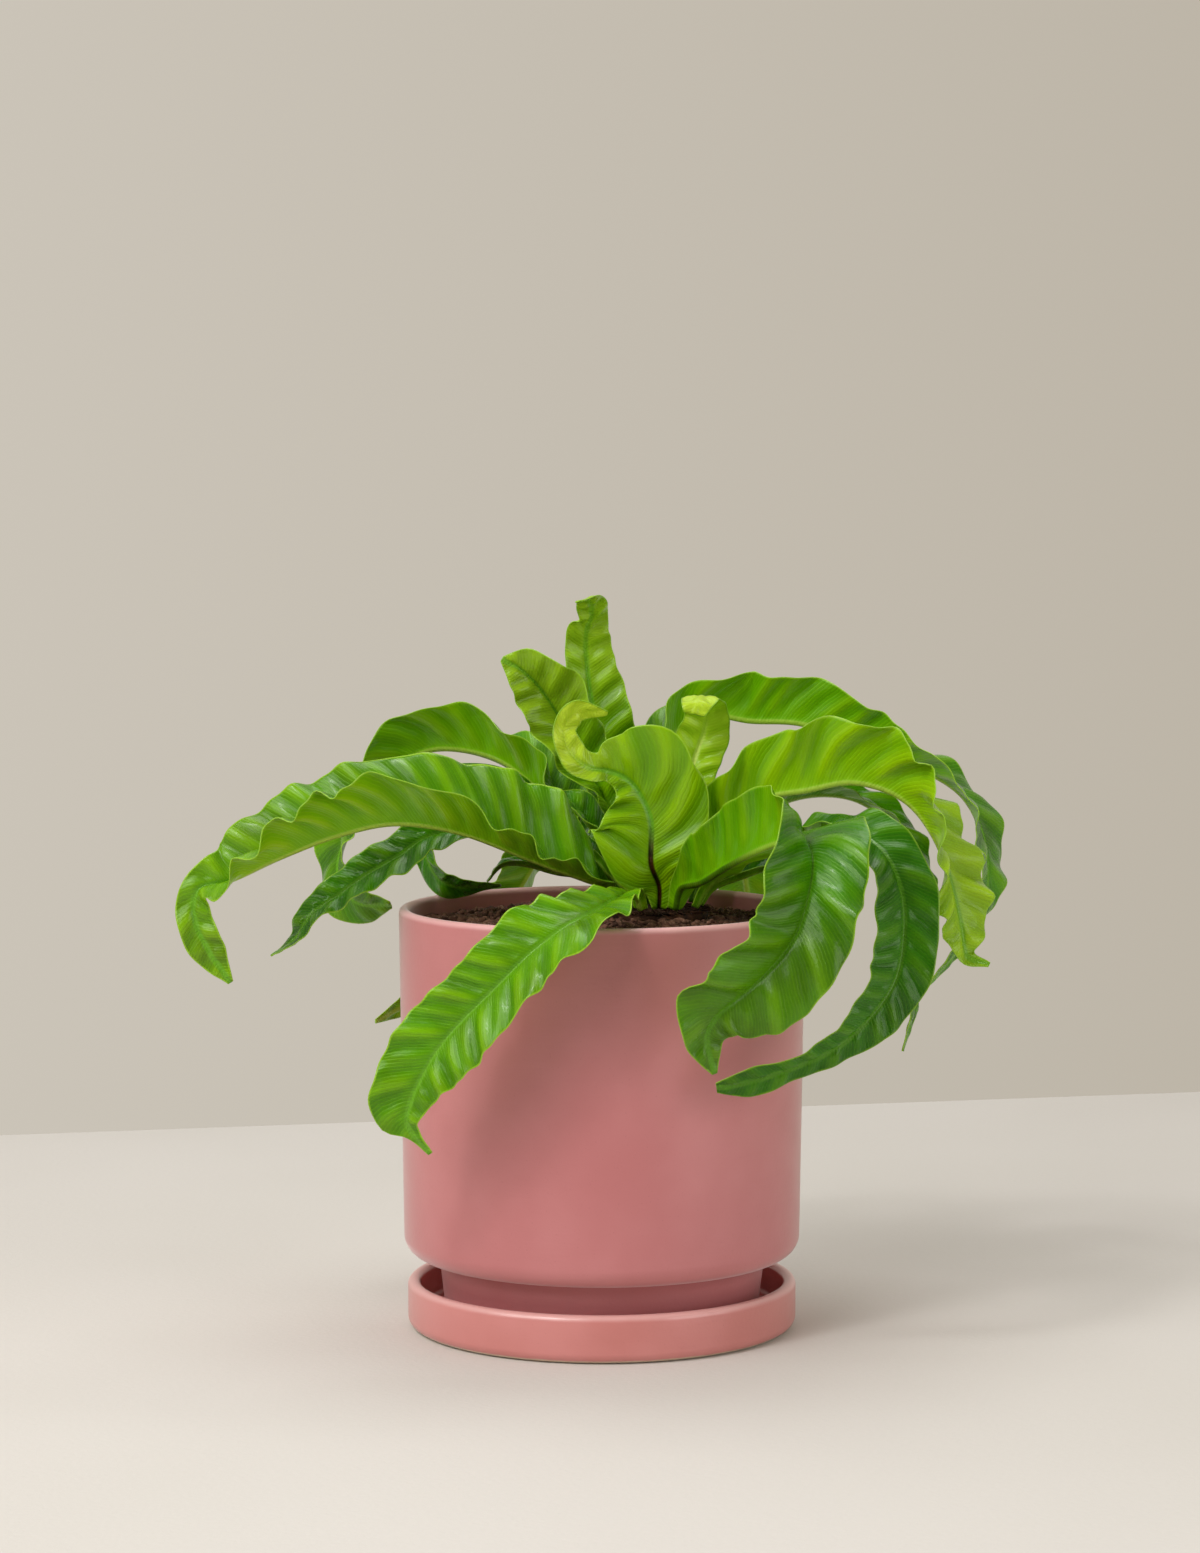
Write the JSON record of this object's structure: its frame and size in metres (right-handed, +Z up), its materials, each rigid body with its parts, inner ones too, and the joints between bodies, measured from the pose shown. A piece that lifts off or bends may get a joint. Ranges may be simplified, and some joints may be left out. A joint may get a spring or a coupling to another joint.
{
  "type": "potted fern",
  "caption": "Bird's-nest fern with arching, wavy-edged fronds, growing from a crown in potting mix, in a straight-sided ceramic planter that stands on a round saucer.",
  "frame": {"origin": "centre of the saucer's flat underside", "axes": "+Z up, through the middle of the planter's rim; -Y is the side the picture was taken from; +X is to its right"},
  "size_m": [0.3074, 0.2255, 0.2709],
  "materials": {
    "planter_glaze": "satin",
    "saucer_glaze": "gloss",
    "potting_mix": "matte",
    "crown": "matte",
    "frond": "gloss",
    "young_frond": "satin"
  },
  "bodies": {
    "root": {"planter": "planter_glaze", "saucer": "saucer_glaze", "potting_mix": "potting_mix", "crown": "crown", "frond_front_drape": "frond", "frond_left_long": "frond", "frond_left_low": "frond", "frond_left_arch": "frond", "frond_left_inner": "frond", "frond_left_claw": "frond", "frond_inner_left": "frond", "frond_upper_left": "frond", "frond_tallest": "frond", "frond_front_centre": "frond", "frond_young_curl": "young_frond", "frond_right_front": "frond", "frond_right_middle": "frond", "frond_right_arch": "frond", "frond_right_high": "frond", "frond_right_behind": "frond", "frond_right_low": "frond", "frond_back_left": "frond", "frond_back_middle": "frond", "frond_back_right": "frond"}
  },
  "joints": []
}
